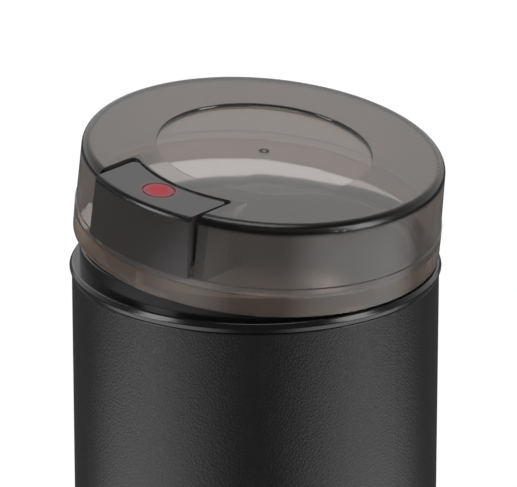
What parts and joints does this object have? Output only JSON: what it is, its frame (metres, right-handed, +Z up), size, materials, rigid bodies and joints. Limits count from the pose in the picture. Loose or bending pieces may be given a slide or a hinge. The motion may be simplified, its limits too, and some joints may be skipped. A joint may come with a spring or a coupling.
{
  "type": "electric spice grinder",
  "caption": "Upright cylindrical electric spice grinder with a smoked lid, a press pad in the lid that starts the motor, and a blade turning in a steel bowl.",
  "frame": {"origin": "centre of the base on the surface that the grinder stands on, on the axis of the body", "axes": "+Z up along the axis of the body, the press pad in the lid looks along -Y and the cord inlet along +Y; the lid leans down towards +X"},
  "size_m": [0.0925, 0.0926, 0.1855],
  "materials": {
    "body_black": "fine leather grain, satin black",
    "rubber_black": "soft matte",
    "base_black": "fine matte",
    "screw_steel": "zinc plated",
    "foot_rubber": "matte",
    "collar_gloss": "polished black",
    "bowl_steel": "spun, satin",
    "seal_rubber": "matte",
    "bush_bronze": "sintered bronze",
    "deck_plastic": "moulded grey",
    "bracket_aluminium": "die cast",
    "lamination_steel": "stacked sheets",
    "coil_copper": "enamelled wire",
    "holder_plastic": "moulded",
    "brush_carbon": "matte graphite",
    "spring_steel": "bright wire",
    "shaft_steel": "ground",
    "commutator_copper": "turned copper bars",
    "fan_plastic": "moulded off-white",
    "hub_plastic": "moulded",
    "blade_steel": "ground edges",
    "nut_steel": "polished",
    "board_laminate": "phenolic laminate",
    "capacitor_yellow": "moulded box",
    "component_black": "moulded",
    "fuse_white": "glazed",
    "switch_plastic": "moulded",
    "bracket_steel": "pressed sheet",
    "rod_steel": "ground wire",
    "lid_smoke": "clear smoked, polished",
    "pad_smoke": "dark smoked, polished"
  },
  "bodies": {
    "base": {"body_shell": "body_black", "cord_gland": "rubber_black", "base_plate": "base_black", "base_screw_1": "screw_steel", "base_screw_2": "screw_steel", "base_screw_3": "screw_steel", "rubber_foot_1": "foot_rubber", "rubber_foot_2": "foot_rubber", "rubber_foot_3": "foot_rubber", "rubber_foot_4": "foot_rubber", "collar": "collar_gloss", "grinding_bowl": "bowl_steel", "bowl_gasket": "seal_rubber", "spindle_bush": "bush_bronze", "spindle_seal": "seal_rubber", "motor_deck": "deck_plastic", "deck_screw_1": "screw_steel", "deck_screw_2": "screw_steel", "deck_screw_3": "screw_steel", "motor_damper": "seal_rubber", "motor_bracket_top": "bracket_aluminium", "motor_bracket_bottom": "bracket_aluminium", "upper_bush": "bush_bronze", "lower_bush": "bush_bronze", "stator_core": "lamination_steel", "field_coil_left": "coil_copper", "field_coil_right": "coil_copper", "motor_bolt_a": "screw_steel", "motor_bolt_b": "screw_steel", "brush_holder_left": "holder_plastic", "brush_holder_right": "holder_plastic", "carbon_brush_left": "brush_carbon", "carbon_brush_right": "brush_carbon", "brush_spring_left": "spring_steel", "brush_spring_right": "spring_steel", "circuit_board": "board_laminate", "suppression_capacitor": "capacitor_yellow", "rectifier": "component_black", "thermal_fuse": "fuse_white", "microswitch": "switch_plastic", "switch_bracket": "bracket_steel", "rod_spring": "spring_steel"},
    "rotor": {"rotor_shaft": "shaft_steel", "armature_core": "lamination_steel", "armature_winding_top": "coil_copper", "armature_winding_bottom": "coil_copper", "commutator": "commutator_copper", "cooling_fan": "fan_plastic", "blade_hub": "hub_plastic", "grinding_blade": "blade_steel", "blade_nut": "nut_steel"},
    "lid": {"lid_shell": "lid_smoke", "pad_spring_left": "spring_steel", "pad_spring_right": "spring_steel"},
    "pad": {"press_pad": "pad_smoke", "pad_screw_left": "screw_steel", "pad_screw_right": "screw_steel"},
    "rod": {"switch_rod": "rod_steel"},
    "lever": {"switch_lever": "spring_steel"}
  },
  "joints": [
    {"name": "rotor_spin", "type": "hinge", "parent": "base", "child": "rotor", "pos_m": [0, 0, 0.13], "axis": [0, 0, 1], "continuous": true},
    {"name": "lid_tilt", "type": "hinge", "parent": "base", "child": "lid", "pos_m": [0.04473, -0.00391, 0.1515], "axis": [0.0872, 0.9962, 0], "range_deg": [-6.95, 60]},
    {"name": "pad_press", "type": "slide", "parent": "lid", "child": "pad", "axis": [-0.1205, 0.0105, -0.9927], "range_m": [0, 0.003], "stiffness_N_per_m": 700, "springref_m": -0.005, "deforming": ["pad_spring_left", "pad_spring_right"]},
    {"name": "rod_slide", "type": "slide", "parent": "base", "child": "rod", "axis": [0, 0, -1], "range_m": [0, 0.003], "deforming": ["rod_spring"]},
    {"name": "lever_swing", "type": "hinge", "parent": "base", "child": "lever", "pos_m": [0, -0.0272, 0.1097], "axis": [1, 0, 0], "range_deg": [0, 12]}
  ],
  "couplings": [
    {"joint": "rod_slide", "follows": "pad_press", "ratio": 1},
    {"joint": "lever_swing", "follows": "pad_press", "rad_per_m": 69.813}
  ]
}
